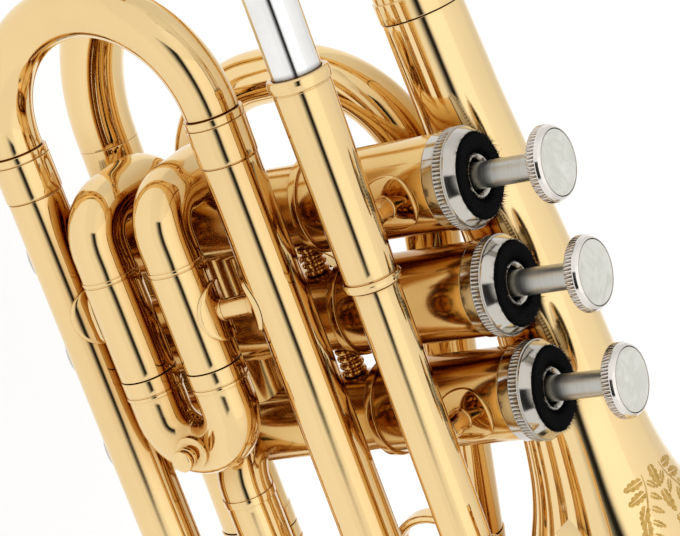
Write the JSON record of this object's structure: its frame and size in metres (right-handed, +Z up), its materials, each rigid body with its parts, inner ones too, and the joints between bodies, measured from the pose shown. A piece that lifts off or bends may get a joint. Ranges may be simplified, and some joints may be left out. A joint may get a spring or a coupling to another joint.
{
  "type": "pocket trumpet",
  "caption": "Compact valve trumpet: coiled brass tubing, sprung pistons with pearl buttons, pull-out tuning slides, water key, mouthpiece and flared bell.",
  "frame": {"origin": "on the axis of the second valve, inside the valve block, where the left hand holds the instrument", "axes": "+X forward to the bell's mouth, +Y to the player's left, +Z up along the valves to the finger buttons"},
  "size_m": [0.2404, 0.1148, 0.1659],
  "materials": {
    "lacquered_brass": "gold lacquer, polished",
    "nickel_plate": "nickel plated, polished",
    "silver_plate": "silver plated, polished",
    "piston_metal": "fine ground",
    "spring_steel": "bright wire",
    "black_felt": "felt",
    "pearl": "mother of pearl",
    "nylon": "moulded",
    "cork": "cork"
  },
  "bodies": {
    "horn": {"valve_casing_1": "lacquered_brass", "valve_casing_2": "lacquered_brass", "valve_casing_3": "lacquered_brass", "knuckle_1_2": "lacquered_brass", "knuckle_2_3": "lacquered_brass", "top_cap_1": "nickel_plate", "top_cap_2": "nickel_plate", "top_cap_3": "nickel_plate", "felt_washer_1": "black_felt", "felt_washer_2": "black_felt", "felt_washer_3": "black_felt", "bottom_cap_1": "nickel_plate", "bottom_cap_2": "nickel_plate", "bottom_cap_3": "nickel_plate", "valve_guide_1": "nylon", "valve_guide_2": "nylon", "valve_guide_3": "nylon", "piston_spring_1": "spring_steel", "piston_spring_2": "spring_steel", "piston_spring_3": "spring_steel", "mouthpiece_receiver": "lacquered_brass", "leadpipe": "lacquered_brass", "front_bow": "lacquered_brass", "upper_leg": "lacquered_brass", "lower_leg": "lacquered_brass", "front_crook": "lacquered_brass", "first_slide_tube_upper": "lacquered_brass", "first_slide_tube_lower": "lacquered_brass", "third_slide_tube_upper": "lacquered_brass", "third_slide_tube_lower": "lacquered_brass", "valve_3_inlet": "lacquered_brass", "left_loop": "lacquered_brass", "left_front_bow": "lacquered_brass", "return_tube": "lacquered_brass", "bell_rear_bow": "lacquered_brass", "bell": "lacquered_brass", "leadpipe_brace_1": "lacquered_brass", "leadpipe_brace_3": "lacquered_brass", "slide_brace_upper": "lacquered_brass", "slide_brace_lower": "lacquered_brass", "bell_brace_1": "lacquered_brass", "bell_brace_3": "lacquered_brass", "finger_hook": "lacquered_brass"},
    "valve_1": {"valve_piston_1": "piston_metal", "finger_button_1": "nickel_plate", "pearl_inlay_1": "pearl"},
    "valve_2": {"valve_piston_2": "piston_metal", "finger_button_2": "nickel_plate", "pearl_inlay_2": "pearl"},
    "valve_3": {"valve_piston_3": "piston_metal", "finger_button_3": "nickel_plate", "pearl_inlay_3": "pearl"},
    "tuning_slide": {"main_tuning_slide": "lacquered_brass"},
    "key": {"water_key": "lacquered_brass", "water_key_cork": "cork"},
    "slide_1": {"first_slide": "lacquered_brass", "first_slide_pull_knob": "lacquered_brass"},
    "slide_2": {"second_slide": "lacquered_brass"},
    "slide_3": {"third_slide": "lacquered_brass"},
    "mouthpiece": {"mouthpiece": "silver_plate"}
  },
  "joints": [
    {"name": "press_valve_1", "type": "slide", "parent": "horn", "child": "valve_1", "axis": [0, 0, -1], "range_m": [0, 0.017], "stiffness_N_per_m": 150, "springref_m": -0.014, "deforming": ["piston_spring_1"]},
    {"name": "press_valve_2", "type": "slide", "parent": "horn", "child": "valve_2", "axis": [0, 0, -1], "range_m": [0, 0.017], "stiffness_N_per_m": 150, "springref_m": -0.014, "deforming": ["piston_spring_2"]},
    {"name": "press_valve_3", "type": "slide", "parent": "horn", "child": "valve_3", "axis": [0, 0, -1], "range_m": [0, 0.017], "stiffness_N_per_m": 150, "springref_m": -0.014, "deforming": ["piston_spring_3"]},
    {"name": "pull_tuning_slide", "type": "slide", "parent": "horn", "child": "tuning_slide", "axis": [-1, 0, 0], "range_m": [0, 0.025]},
    {"name": "pull_first_slide", "type": "slide", "parent": "horn", "child": "slide_1", "axis": [1, 0, 0], "range_m": [0, 0.018]},
    {"name": "pull_second_slide", "type": "slide", "parent": "horn", "child": "slide_2", "axis": [0, 1, 0], "range_m": [0, 0.007]},
    {"name": "pull_third_slide", "type": "slide", "parent": "horn", "child": "slide_3", "axis": [1, 0, 0], "range_m": [0, 0.016]},
    {"name": "pull_mouthpiece", "type": "slide", "parent": "horn", "child": "mouthpiece", "axis": [-1, 0, 0], "range_m": [0, 0.03]},
    {"name": "press_water_key", "type": "hinge", "parent": "tuning_slide", "child": "key", "pos_m": [-0.0982, -0.024, -0.0046], "axis": [0, 1, 0], "range_deg": [0, 20], "stiffness_Nm_per_rad": 0.01, "springref_deg": -22.92}
  ]
}
